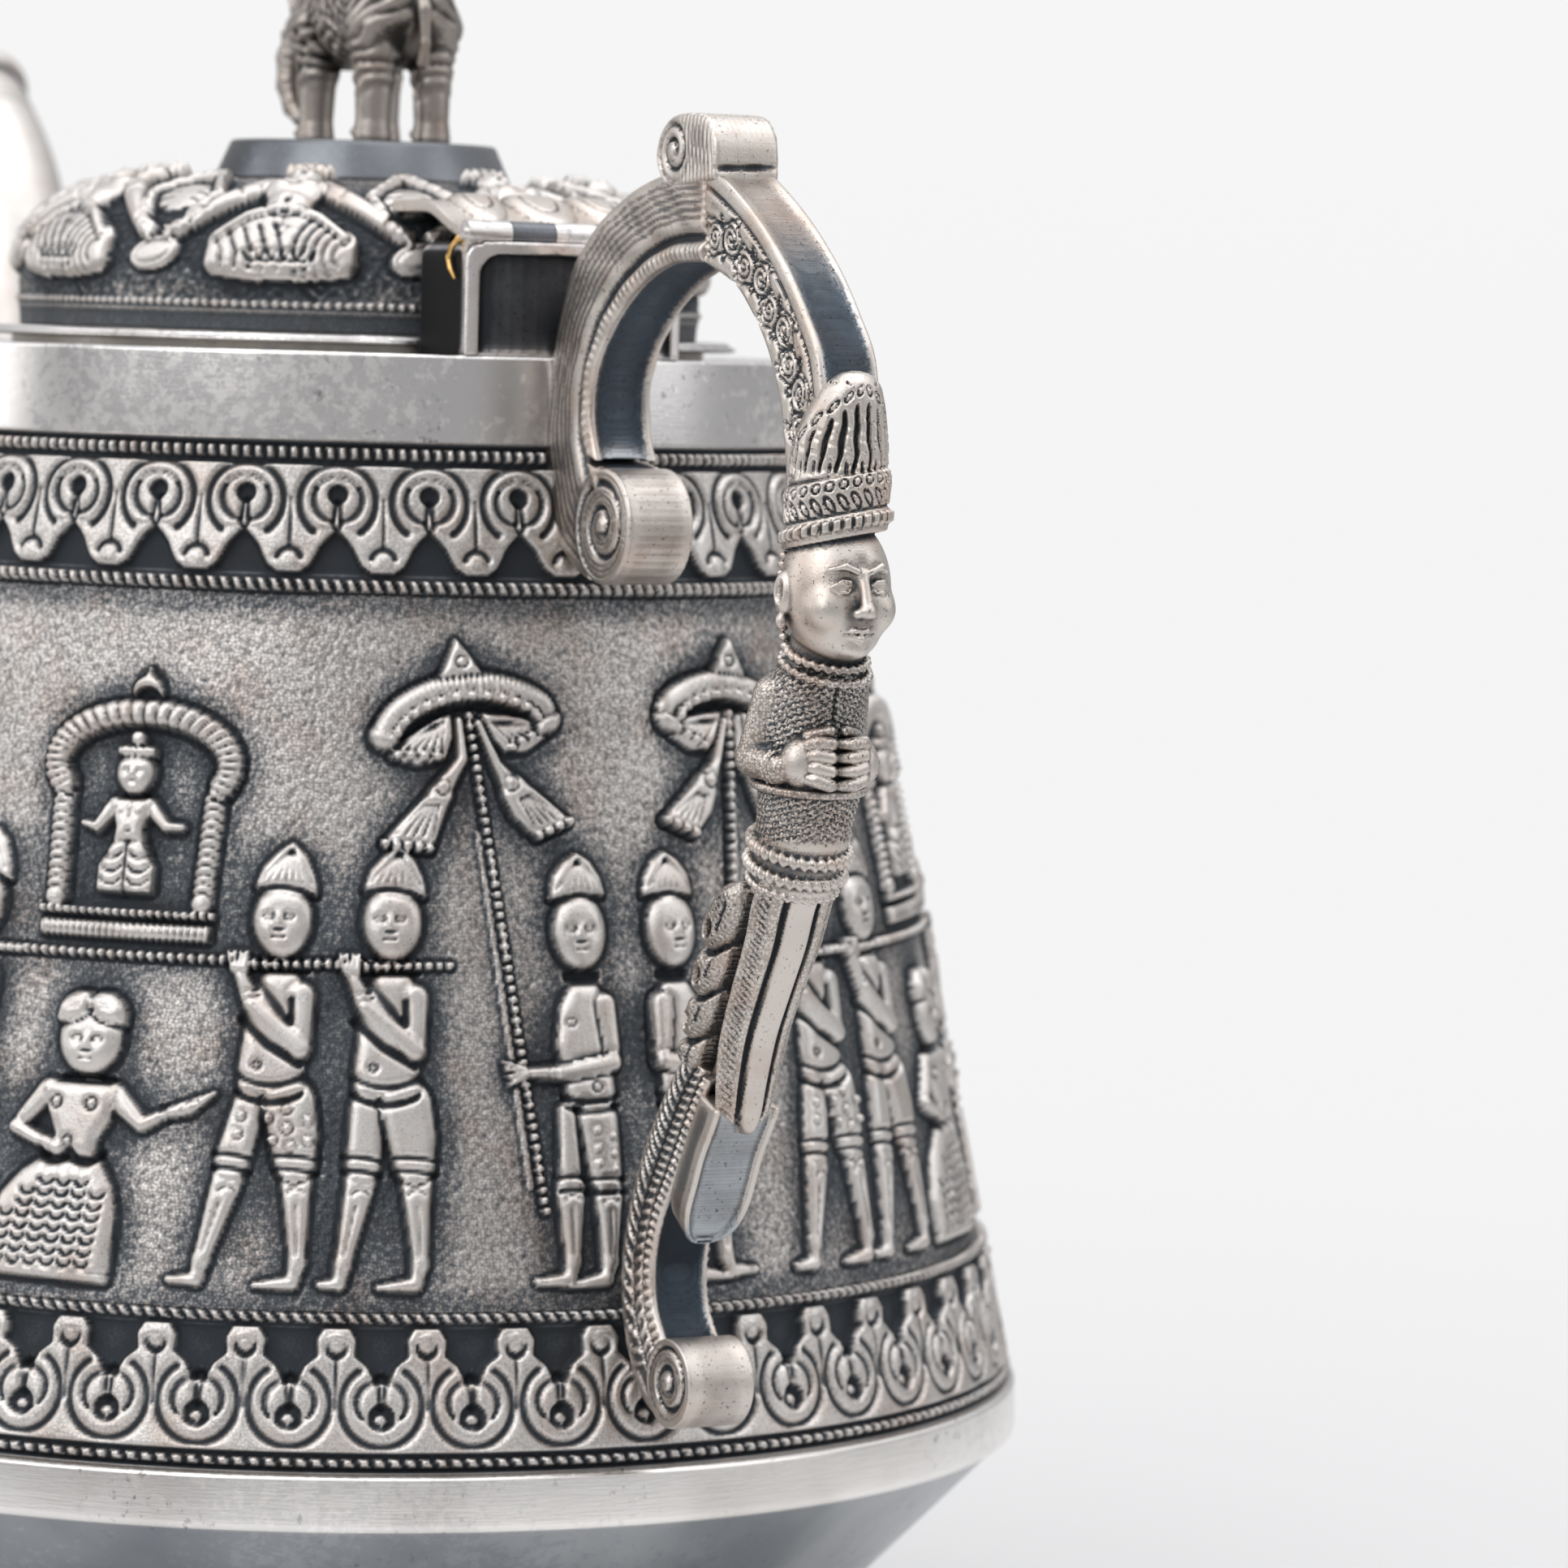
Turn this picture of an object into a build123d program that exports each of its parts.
"""Silver coffee pot with a figural handle, a hinged domed lid and an elephant finial.

Frame: origin at the centre of the foot's resting face, +Z up, the handle towards +X and the
spout towards -X. All lengths are in millimetres.
"""

import os
from math import sqrt

from build123d import *

os.makedirs("parts", exist_ok=True)

# ---------------------------------------------------------------- driving dimensions
# Pot body: a truncated cone over a tapered pan and a foot ring.
foot_height = 3.2
foot_outer_r = 44.0
foot_inner_r = 41.0
waist_height = 30.0  # the widest line of the pot
waist_r = 70.0
waist_band_height = 5.2
wall_low_r = 68.6  # wall radius behind and above the waist band
wall_high_r = 47.8  # wall radius under the rim band
wall_thickness = 1.0
pan_edge_thickness = 1.7  # the pan is thicker where the wall is soldered to it
rim_band_bottom = 129.5
rim_height = 138.0
rim_r = 48.3
rim_wall_r = 47.6
band_edge = 0.2  # small draw and edge break of the plain bands
foot_draw = 0.6  # the foot ring narrows upwards by this much

# Shoulder and mouth.
top_plate_height = 136.2  # upper face of the sunk shoulder plate
top_plate_thickness = 1.0
mouth_r = 34.0
collar_thickness = 1.0
collar_bottom = 133.2
collar_top = 138.6

# Lid.
flange_r = 38.3
flange_bottom = 138.65
flange_thickness = 1.0
bezel_r = 33.1
bezel_thickness = 1.0
bezel_bottom = 135.2
dome_r = 34.2
dome_top = 154.6
dome_thickness = 1.0
notch_x = 36.2  # the flange is cut off flat here, in front of the hinge block

# Hinge.
hinge_x = 46.0
hinge_z = 149.5
hinge_width = 23.0
barrel_r = 1.25
barrel_count = 5
barrel_gap = 0.1
barrel_groove_gap = 0.15  # between the barrels and the groove in the block
pin_r = 0.6
pin_clearance = 0.05
pin_overhang = 0.3
block_inner_x = 36.8
block_top = 148.8
block_corner_r = 1.5
strap_thickness = 1.2
strap_width = 22.4
strap_reach = 6.0  # how far the strap runs in towards the dome before it is trimmed

# Finial.
plinth_low_r = 15.0
plinth_high_r = 13.3
plinth_top = 158.8
stud_r = 1.5
stud_clearance = 0.1
stud_bottom = 147.2
pocket_height = 3.0  # hollow in the plinth's underside, round its stud socket
washer_r = 4.2
washer_thickness = 0.8
nut_r = 3.2
nut_height = 2.4

# Handle: a cast strip, its figure and its scrolls, all in the XZ plane.
handle_width = 6.8
roll_width = 7.4
roll_bead = 0.1  # the rolls stand this much proud of the strip
upper_roll = (59.9, 122.5)
upper_roll_r = 5.4
lower_roll = (77.2, 44.5)
lower_roll_r = 4.1
arm_split_x = 77.5  # where the upper scroll meets the crown arm
head_centre = (97.7, 119.2)
head_r = 5.1
head_half_height = 6.8

# Spout.
spout_path_points = [
    (-44, 62),
    (-61, 72),
    (-76, 88),
    (-84.5, 112),
    (-87.5, 138),
    (-94.4, 155),
    (-106, 165.5),
]
spout_radii = [14.0, 12.4, 10.6, 8.8, 7.4, 6.6, 6.2]  # at equal steps along the centre line
spout_root_height = 73.0
spout_thickness = 1.0
spout_bore_r = 8.0  # opening through the wall behind the spout
spout_lip_width = 1.0
spout_lip_length = 1.4
spout_flange_width = 2.6
spout_flange_thickness = 1.6
spout_flange_span = (40.0, 115.0)  # heights between which the flange is cut from the wall's shape
strainer_r = 9.5
strainer_span = (55.0, 92.0)
strainer_thickness = 0.8
strainer_hole_r = 0.9
strainer_hole_spacing = 1.8


def cone_r(z):
    """Outer radius of the body wall at height z, between the two plain bands."""
    low = waist_height + waist_band_height
    share = (z - low) / (rim_band_bottom - low)
    return wall_low_r + (wall_high_r - wall_low_r) * share


def ring(inner_r, outer_r, bottom, top):
    """A plain ring about the pot's axis, for use inside a BuildPart block."""
    with BuildSketch(Plane.XY.offset(bottom)) as section:
        Circle(outer_r)
        Circle(inner_r, mode=Mode.SUBTRACT)
    extrude(section.sketch, amount=top - bottom)


def turned(points):
    """A solid of revolution from a closed outline of (radius, height) points."""
    with BuildSketch(Plane.XZ) as outline:
        with BuildLine():
            Polyline(*points, close=True)
        make_face()
    revolve(outline.sketch, axis=Axis.Z)


def spheroid(centre, along, across, axis_dir=(0, 0, 1)):
    """A spheroid with its long axis on axis_dir, for use inside a BuildPart block."""
    normal = (1, 0, 0) if axis_dir == (0, 1, 0) else (0, 1, 0)
    plane = Plane(origin=centre, x_dir=axis_dir, z_dir=normal)
    with BuildSketch(plane) as half:
        with BuildLine():
            EllipticalCenterArc((0, 0), along, across, arc_size=180)
            Line((-along, 0), (along, 0))
        make_face()
    revolve(half.sketch, axis=Axis(centre, axis_dir))


def tube(points, radius):
    """A round bar along a smooth path through the points, with round ends."""
    with BuildLine() as path:
        Spline(*points)
    with BuildSketch(Plane(origin=path.line @ 0, z_dir=path.line % 0)) as section:
        Circle(radius)
    sweep(section.sketch, path=path.line)
    with Locations(path.line @ 0, path.line @ 1):
        Sphere(radius)


# ---------------------------------------------------------------- pot body
wall_low_z = waist_height
wall_step_z = waist_height + waist_band_height
wall_outline = [
    (wall_low_r, wall_low_z),
    (wall_low_r, wall_step_z),
    (wall_high_r, rim_band_bottom),
    (rim_wall_r, rim_height),
]
wall_inside = [(r - wall_thickness, z) for r, z in reversed(wall_outline)]

# The filled pot body with its rim, used only to trim what is soldered to the outside.
with BuildPart() as body_core:
    turned(
        [(0, wall_low_z)]
        + wall_outline[:3]
        + [(rim_r, rim_band_bottom), (rim_r, rim_height), (0, rim_height)]
    )

spout_root = Plane(origin=(0, 0, spout_root_height), x_dir=(0, 1, 0), z_dir=(-1, 0, 0))

with BuildPart() as body_wall:
    turned(wall_outline + wall_inside)
    with BuildSketch(spout_root):
        Circle(spout_bore_r)
    extrude(amount=waist_r, mode=Mode.SUBTRACT)

with BuildPart() as rim_band:
    turned(
        [
            (wall_high_r, rim_band_bottom),
            (rim_r, rim_band_bottom),
            (rim_r, rim_height - band_edge),
            (rim_r - band_edge, rim_height),
            (rim_wall_r, rim_height),
        ]
    )

with BuildPart() as waist_band:
    turned(
        [
            (wall_low_r, waist_height),
            (waist_r, waist_height),
            (waist_r - band_edge, wall_step_z),
            (wall_low_r, wall_step_z),
        ]
    )

pan_edge_r = waist_r - 0.6
pan_low_r = foot_outer_r - 0.8
well_r = foot_inner_r + foot_draw
with BuildPart() as base_pan:
    # A flat floor that fills the foot ring, then the flared side up to the waist.
    turned(
        [
            (0, 0),
            (foot_inner_r, 0),
            (well_r, foot_height),
            (pan_low_r, foot_height),
            (pan_edge_r, waist_height),
            (pan_edge_r - pan_edge_thickness, waist_height),
            (pan_low_r - wall_thickness, foot_height + wall_thickness),
            (well_r - wall_thickness, foot_height + wall_thickness),
            (foot_inner_r - wall_thickness, wall_thickness),
            (0, wall_thickness),
        ]
    )

with BuildPart() as foot_ring:
    turned(
        [
            (foot_inner_r, 0),
            (foot_outer_r, 0),
            (foot_outer_r - foot_draw / 2, foot_height),
            (well_r, foot_height),
        ]
    )

with BuildPart() as top_plate:
    ring(
        mouth_r + collar_thickness,
        rim_r,
        top_plate_height - top_plate_thickness,
        top_plate_height,
    )
    with BuildSketch(Plane.XY.offset(collar_bottom)):
        Circle(rim_wall_r - wall_thickness)
    extrude(amount=rim_height - collar_bottom, mode=Mode.INTERSECT)

with BuildPart() as mouth_collar:
    ring(mouth_r, mouth_r + collar_thickness, collar_bottom, collar_top)

# ---------------------------------------------------------------- hinge
barrel_pitch = hinge_width / barrel_count
barrel_length = barrel_pitch - barrel_gap
hinge_side = Plane(origin=(hinge_x, 0, hinge_z), x_dir=(1, 0, 0), z_dir=(0, -1, 0))


def barrel_centres(first):
    """Centres along Y of every second barrel, counted from the first."""
    return [(i - (barrel_count - 1) / 2) * barrel_pitch for i in range(first, barrel_count, 2)]


half_width = hinge_width / 2
face_x = sqrt(rim_r**2 - half_width**2)

with BuildPart() as hinge_block:
    # A box that stands on the rim and the shoulder plate, with its face flush with the rim.
    with BuildSketch(Plane.XY.offset(rim_height)) as block_footprint:
        with BuildLine():
            Polyline(
                (face_x, -half_width),
                (block_inner_x, -half_width),
                (block_inner_x, half_width),
                (face_x, half_width),
            )
            ThreePointArc((face_x, half_width), (rim_r, 0), (face_x, -half_width))
        make_face()
    extrude(amount=block_top - rim_height)
    fillet(hinge_block.edges().filter_by(Axis.X).group_by(Axis.Z)[-1], radius=block_corner_r)
    with BuildSketch(hinge_side):
        Circle(barrel_r + barrel_groove_gap)
    extrude(amount=hinge_width, both=True, mode=Mode.SUBTRACT)
    with BuildSketch(Plane.XY.offset(rim_height)):
        add(block_footprint.sketch_local)
        Circle(rim_wall_r - wall_thickness, mode=Mode.INTERSECT)
    extrude(amount=top_plate_height - rim_height)

with BuildPart() as body_knuckles:
    # Fixed barrels; each has a short web down into the block's groove.
    for y in barrel_centres(0):
        with BuildSketch(hinge_side.offset(-y - barrel_length / 2)):
            Circle(barrel_r)
            with Locations((0, -barrel_r)):
                Rectangle(barrel_r, barrel_r)
            Circle(pin_r, mode=Mode.SUBTRACT)
        extrude(amount=barrel_length)
    add(hinge_block.part, mode=Mode.SUBTRACT)

with BuildPart() as lid_knuckles:
    for y in barrel_centres(1):
        with BuildSketch(hinge_side.offset(-y - barrel_length / 2)):
            Circle(barrel_r)
            Circle(pin_r + pin_clearance, mode=Mode.SUBTRACT)
        extrude(amount=barrel_length)

with BuildPart() as hinge_pin:
    with BuildSketch(hinge_side):
        Circle(pin_r)
    extrude(amount=hinge_width / 2 + pin_overhang, both=True)

# ---------------------------------------------------------------- lid
flange_top = flange_bottom + flange_thickness

with BuildPart() as lid_flange:
    ring(bezel_r - bezel_thickness, flange_r, flange_bottom, flange_top)
    with BuildSketch(Plane.XY.offset(flange_bottom)):
        with Locations((notch_x + flange_r / 2, 0)):
            Rectangle(flange_r, 2 * flange_r)
    extrude(amount=flange_thickness, mode=Mode.SUBTRACT)

with BuildPart() as lid_bezel:
    ring(bezel_r - bezel_thickness, bezel_r, bezel_bottom, flange_bottom)

dome_knee_z = 145.5


def dome_profile(inset):
    """Side and crown of the dome as one chain of lines, ending on the axis."""
    low = (dome_r - inset, flange_top)
    knee = (dome_r + 0.2 - inset, dome_knee_z)
    flat = (plinth_low_r + 2.0, dome_top - inset)
    Line(low, knee)
    Spline(knee, (30.2 - inset, 151.7 - inset), flat, tangents=[(0, 1), (-1, 0)])
    Line(flat, (0, flat[1]))


with BuildPart() as dome_core:
    with BuildSketch(Plane.XZ):
        with BuildLine():
            dome_profile(0)
            Polyline((0, dome_top), (0, flange_top), (dome_r, flange_top))
        make_face()
    revolve(axis=Axis.Z)

with BuildPart() as dome_inside:
    with BuildSketch(Plane.XZ):
        with BuildLine():
            dome_profile(dome_thickness)
            Polyline(
                (0, dome_top - dome_thickness), (0, flange_top), (dome_r - dome_thickness, flange_top)
            )
        make_face()
    revolve(axis=Axis.Z)

with BuildPart() as lid_dome:
    add(dome_core.part)
    add(dome_inside.part, mode=Mode.SUBTRACT)
    with BuildSketch(Plane.XY.offset(flange_top)):
        Circle(stud_r + stud_clearance)
    extrude(amount=dome_top, mode=Mode.SUBTRACT)

strap_low = hinge_z - strap_thickness / 4
with BuildPart() as lid_strap:
    # Leaf from the moving barrels to the dome, notched round the fixed barrels.
    with BuildSketch(Plane.XY.offset(strap_low)):
        with Locations(((hinge_x + dome_r - strap_reach) / 2, 0)):
            Rectangle(hinge_x - dome_r + strap_reach, strap_width)
        for y in barrel_centres(0):
            with Locations((hinge_x, y)):
                Rectangle(2 * barrel_r + 0.5, barrel_pitch + 0.1, mode=Mode.SUBTRACT)
    extrude(amount=strap_thickness)
    with BuildSketch(hinge_side):
        Circle(barrel_r)
    extrude(amount=hinge_width, both=True, mode=Mode.SUBTRACT)
    add(dome_core.part, mode=Mode.SUBTRACT)

with BuildPart() as lid_notch_strip:
    # Two small gilt strips beside the notch, between the strap and the flange.
    strip_side = Plane(origin=(0, 0, 0), x_dir=(1, 0, 0), z_dir=(0, -1, 0))
    for y in (-10.6, 9.6):
        with BuildSketch(strip_side.offset(y)):
            with BuildLine():
                Polyline((36.4, strap_low), (33.0, strap_low), (33.0, 142.0), (36.0, 142.0))
                ThreePointArc((36.0, 142.0), (35.2, 145.8), (36.4, strap_low))
            make_face()
        extrude(amount=1.0)
    add(dome_core.part, mode=Mode.SUBTRACT)

# ---------------------------------------------------------------- finial
with BuildPart() as finial_plinth:
    turned([(0, dome_top), (plinth_low_r, dome_top), (plinth_high_r, plinth_top), (0, plinth_top)])
    with BuildSketch(Plane.XY.offset(dome_top)):
        Circle(plinth_high_r - 1.6)
        Circle(stud_r + 2.0, mode=Mode.SUBTRACT)
        Circle(stud_r)
    extrude(amount=pocket_height, mode=Mode.SUBTRACT)

with BuildPart() as finial_stud:
    with BuildSketch(Plane.XY.offset(stud_bottom)):
        Circle(stud_r)
    extrude(amount=dome_top + pocket_height - stud_bottom)

washer_top = dome_top - dome_thickness
with BuildPart() as finial_washer:
    ring(stud_r + stud_clearance, washer_r, washer_top - washer_thickness, washer_top)

with BuildPart() as finial_nut:
    with BuildSketch(Plane.XY.offset(washer_top - washer_thickness - nut_height)):
        RegularPolygon(nut_r, 6)
        Circle(stud_r, mode=Mode.SUBTRACT)
    extrude(amount=nut_height)

with BuildPart() as elephant_finial:
    # Faces the spout and stands with its four feet on the plinth.
    belly_z = 170.2
    spheroid((0.5, 0, belly_z), 9.4, 6.2, (1, 0, 0))
    for x in (-5.0, 6.2):
        for y in (-3.2, 3.2):
            with BuildSketch(Plane(origin=(x, y, plinth_top))):
                Circle(2.0)
            extrude(amount=belly_z - plinth_top)
    spheroid((-8.4, 0, 173.6), 4.8, 4.3)
    tube([(-11.4, 0, 173.5), (-13.2, 0, 169.5), (-13.2, 0, 164.5), (-11.6, 0, 161.2)], 1.3)
    for y in (-1, 1):
        with BuildSketch(Plane(origin=(-7.2, 3.6 * y, 173.6), x_dir=(1, 0, 0), z_dir=(0, y, 0))):
            Ellipse(3.0, 4.0)
        extrude(amount=1.0)
        tube([(-11.0, 1.8 * y, 171.6), (-12.8, 2.3 * y, 169.6), (-14.4, 2.2 * y, 169.4)], 0.6)
    tube([(9.4, 0, 172.0), (11.0, 0, 169.0), (11.2, 0, 165.0)], 0.7)

# ---------------------------------------------------------------- handle
handle_plane = Plane.XZ


def side_pad(width):
    """Gives the pending outline its width, centred on the handle's plane."""
    extrude(amount=width / 2, both=True)


with BuildPart() as handle_upper_scroll:
    # C-shaped arm: up from the rim, over to the thumb scroll, with a roll at its foot.
    roll_x, roll_z = upper_roll
    with BuildSketch(handle_plane):
        with BuildLine():
            Spline(
                (arm_split_x, 147.4),
                (67.0, 145.5),
                (60.6, 141.4),
                (56.6, 135.7),
                (57.9, 130.1),
                (roll_x, roll_z + upper_roll_r),
            )
            ThreePointArc(
                (roll_x, roll_z + upper_roll_r),
                (roll_x + upper_roll_r, roll_z),
                (roll_x, roll_z - upper_roll_r),
            )
            Spline(
                (roll_x, roll_z - upper_roll_r),
                (51.5, 120.4),
                (47.2, 131.0),
                (48.8, 138.4),
                (51.0, 144.6),
                (58.6, 151.7),
                (68.0, 155.0),
                (arm_split_x, 155.9),
            )
            Line((arm_split_x, 155.9), (arm_split_x, 147.4))
        make_face()
    side_pad(handle_width)
    with BuildSketch(handle_plane):
        with Locations(upper_roll):
            Circle(upper_roll_r + roll_bead)
    side_pad(roll_width)
    add(body_core.part, mode=Mode.SUBTRACT)

with BuildPart() as handle_figure:
    # Half figure with folded hands, facing away from the pot: x centre, half depth, half width.
    for z, x, depth, width in (
        (91.2, 92.6, 4.0, 4.3),
        (95.0, 93.2, 4.4, 4.5),
        (99.0, 93.9, 4.2, 4.5),
        (103.5, 93.6, 4.4, 5.0),
        (107.5, 93.6, 4.3, 5.4),
        (110.2, 94.6, 4.0, 4.6),
        (112.6, 96.2, 3.5, 3.4),
        (115.2, 97.0, 3.4, 3.4),
    ):
        with BuildSketch(Plane(origin=(x, 0, z))):
            Ellipse(depth, width)
    loft()
    spheroid((head_centre[0], 0, head_centre[1]), head_half_height, head_r)
    for z, x, depth, width in (
        (123.2, 97.8, 5.0, 5.1),
        (129.3, 97.4, 4.7, 4.7),
        (134.6, 98.4, 3.6, 3.7),
        (138.3, 100.2, 1.6, 1.8),
    ):
        with BuildSketch(Plane(origin=(x, 0, z))):
            Ellipse(depth, width)
    loft()
    for side in (-1, 1):
        tube(
            [
                (94.0, 4.4 * side, 108.4),
                (92.6, 5.2 * side, 103.2),
                (98.0, 1.2 * side, 102.6),
            ],
            1.4,
        )
    spheroid((98.0, 0, 103.6), 3.2, 1.9, (0, 1, 0))

crown_arm_tip = (98.4, 138.9)
with BuildPart() as handle_crown_arm:
    # From the thumb scroll over and down to the back of the figure's crown.
    with BuildSketch(handle_plane):
        with BuildLine():
            Spline(
                (arm_split_x, 155.9),
                (84.9, 152.0),
                (92.6, 146.3),
                crown_arm_tip,
            )
            Polyline(crown_arm_tip, (96.6, 130.6), (93.5, 130.6))
            Spline(
                (93.5, 130.6),
                (92.3, 134.4),
                (89.0, 140.3),
                (83.1, 145.3),
                (arm_split_x, 147.4),
            )
            Line((arm_split_x, 147.4), (arm_split_x, 155.9))
        make_face()
    side_pad(handle_width - 0.4)
    add(handle_figure.part, mode=Mode.SUBTRACT)

with BuildPart() as handle_thumb_scroll:
    with BuildSketch(handle_plane):
        with BuildLine():
            Polyline((70.5, 154.0), (72.0, 160.5), (77.8, 160.3), (78.6, 154.0), close=True)
        make_face()
        with Locations((72.0, 157.5)):
            Circle(3.0)
    side_pad(handle_width + 0.2)
    for trimmed_by in (handle_upper_scroll, handle_crown_arm):
        add(trimmed_by.part, mode=Mode.SUBTRACT)

leaf_back_low = (76.7, 75.0)
leaf_front_low = (85.6, 70.2)
with BuildPart() as handle_skirt_leaf:
    # Lobed sides with a ribbed leaf on the front, hanging from the figure's belt.
    with BuildSketch(handle_plane):
        with BuildLine():
            Spline((96.4, 92.0), (92.4, 85.9), (88.6, 78.6), leaf_front_low)
            Line(leaf_front_low, (84.2, 68.2))
            Line((84.2, 68.2), (81.6, 71.8))
            Line((81.6, 71.8), leaf_back_low)
            Spline(leaf_back_low, (79.6, 82.6), (83.4, 88.6), (88.2, 92.0))
            Line((88.2, 92.0), (96.4, 92.0))
        make_face()
    side_pad(handle_width + 0.6)
    add(handle_figure.part, mode=Mode.SUBTRACT)

with BuildPart() as handle_lower_scroll:
    # Lower C arm, soldered to the wall at its middle, with a roll at its foot.
    roll_x, roll_z = lower_roll
    with BuildSketch(handle_plane):
        with BuildLine():
            Line((81.6, 71.8), leaf_back_low)
            Spline(
                leaf_back_low,
                (70.4, 64.0),
                (66.4, 55.5),
                (66.0, 50.5),
                (69.6, 44.2),
                (roll_x, roll_z - lower_roll_r),
            )
            ThreePointArc(
                (roll_x, roll_z - lower_roll_r),
                (roll_x + lower_roll_r, roll_z),
                (roll_x, roll_z + lower_roll_r),
            )
            Spline(
                (roll_x, roll_z + lower_roll_r),
                (73.6, 50.8),
                (73.0, 56.6),
                (75.8, 60.6),
                (79.6, 66.6),
                (81.6, 71.8),
            )
        make_face()
    side_pad(handle_width)
    with BuildSketch(handle_plane):
        with Locations(lower_roll):
            Circle(lower_roll_r + roll_bead)
    side_pad(roll_width)
    add(body_core.part, mode=Mode.SUBTRACT)

with BuildPart() as handle_tongue:
    # Plain round-ended strip on the front of the lower arm, under the leaf's tip.
    with BuildSketch(handle_plane):
        with BuildLine():
            Spline((77.4, 57.8), (80.8, 63.9), (84.2, 68.2))
            Line((84.2, 68.2), (81.6, 71.8))
            Spline((81.6, 71.8), (78.6, 64.6), (75.6, 59.4))
            Line((75.6, 59.4), (77.4, 57.8))
        make_face()
    side_pad(handle_width - 0.6)
    for trimmed_by in (handle_lower_scroll, handle_skirt_leaf):
        add(trimmed_by.part, mode=Mode.SUBTRACT)

# ---------------------------------------------------------------- spout
with BuildLine(Plane.XZ) as spout_path:
    Spline(*spout_path_points)
spout_line = spout_path.line


def spout_plane(share):
    """Plane square to the spout's centre line at a share of its length."""
    return Plane(origin=spout_line @ share, x_dir=(0, 1, 0), z_dir=spout_line % share)


def spout_loft(inset, mode):
    """The spout's tapering round body, made smaller by inset."""
    last = len(spout_radii) - 1
    sections = []
    for i, radius in enumerate(spout_radii):
        with BuildSketch(spout_plane(i / last)) as section:
            Circle(radius - inset)
        sections.append(section.sketch)
    loft(sections, mode=mode)


with BuildPart() as spout_core:
    spout_loft(0, Mode.ADD)

with BuildPart() as spout:
    spout_loft(0, Mode.ADD)
    spout_loft(spout_thickness, Mode.SUBTRACT)
    add(body_core.part, mode=Mode.SUBTRACT)

with BuildPart() as spout_flange:
    # Moulding round the spout's root, laid on the wall.
    low, high = spout_flange_span
    turned(
        [
            (cone_r(low), low),
            (cone_r(low) + spout_flange_thickness, low),
            (cone_r(high) + spout_flange_thickness, high),
            (cone_r(high), high),
        ]
    )
    spout_loft(-spout_flange_width, Mode.INTERSECT)
    add(spout_core.part, mode=Mode.SUBTRACT)

with BuildPart() as spout_lip:
    with BuildSketch(spout_plane(1)):
        Circle(spout_radii[-1] + spout_lip_width)
        Circle(spout_radii[-1] - spout_thickness, mode=Mode.SUBTRACT)
    extrude(amount=spout_lip_length)

with BuildPart() as strainer:
    # Perforated patch on the inside of the wall, over the spout's opening.
    low, high = strainer_span
    turned(
        [
            (cone_r(low) - wall_thickness - strainer_thickness, low),
            (cone_r(low) - wall_thickness, low),
            (cone_r(high) - wall_thickness, high),
            (cone_r(high) - wall_thickness - strainer_thickness, high),
        ]
    )
    with BuildSketch(spout_root):
        Circle(strainer_r)
    extrude(amount=waist_r, mode=Mode.INTERSECT)
    with BuildSketch(spout_root):
        with HexLocations(strainer_hole_spacing, 4, 4):
            Circle(strainer_hole_r)
    extrude(amount=waist_r, mode=Mode.SUBTRACT)

# ---------------------------------------------------------------- export
nodes = {
    "body_wall": body_wall,
    "rim_band": rim_band,
    "waist_band": waist_band,
    "base_pan": base_pan,
    "foot_ring": foot_ring,
    "top_plate": top_plate,
    "mouth_collar": mouth_collar,
    "hinge_block": hinge_block,
    "body_knuckles": body_knuckles,
    "lid_knuckles": lid_knuckles,
    "hinge_pin": hinge_pin,
    "lid_flange": lid_flange,
    "lid_bezel": lid_bezel,
    "lid_dome": lid_dome,
    "lid_strap": lid_strap,
    "lid_notch_strip": lid_notch_strip,
    "finial_plinth": finial_plinth,
    "finial_stud": finial_stud,
    "finial_washer": finial_washer,
    "finial_nut": finial_nut,
    "elephant_finial": elephant_finial,
    "handle_upper_scroll": handle_upper_scroll,
    "handle_thumb_scroll": handle_thumb_scroll,
    "handle_crown_arm": handle_crown_arm,
    "handle_figure": handle_figure,
    "handle_skirt_leaf": handle_skirt_leaf,
    "handle_tongue": handle_tongue,
    "handle_lower_scroll": handle_lower_scroll,
    "spout": spout,
    "spout_flange": spout_flange,
    "spout_lip": spout_lip,
    "strainer": strainer,
}
for name, node in nodes.items():
    node.part.label = name
    export_step(node.part, f"parts/{name}.step")
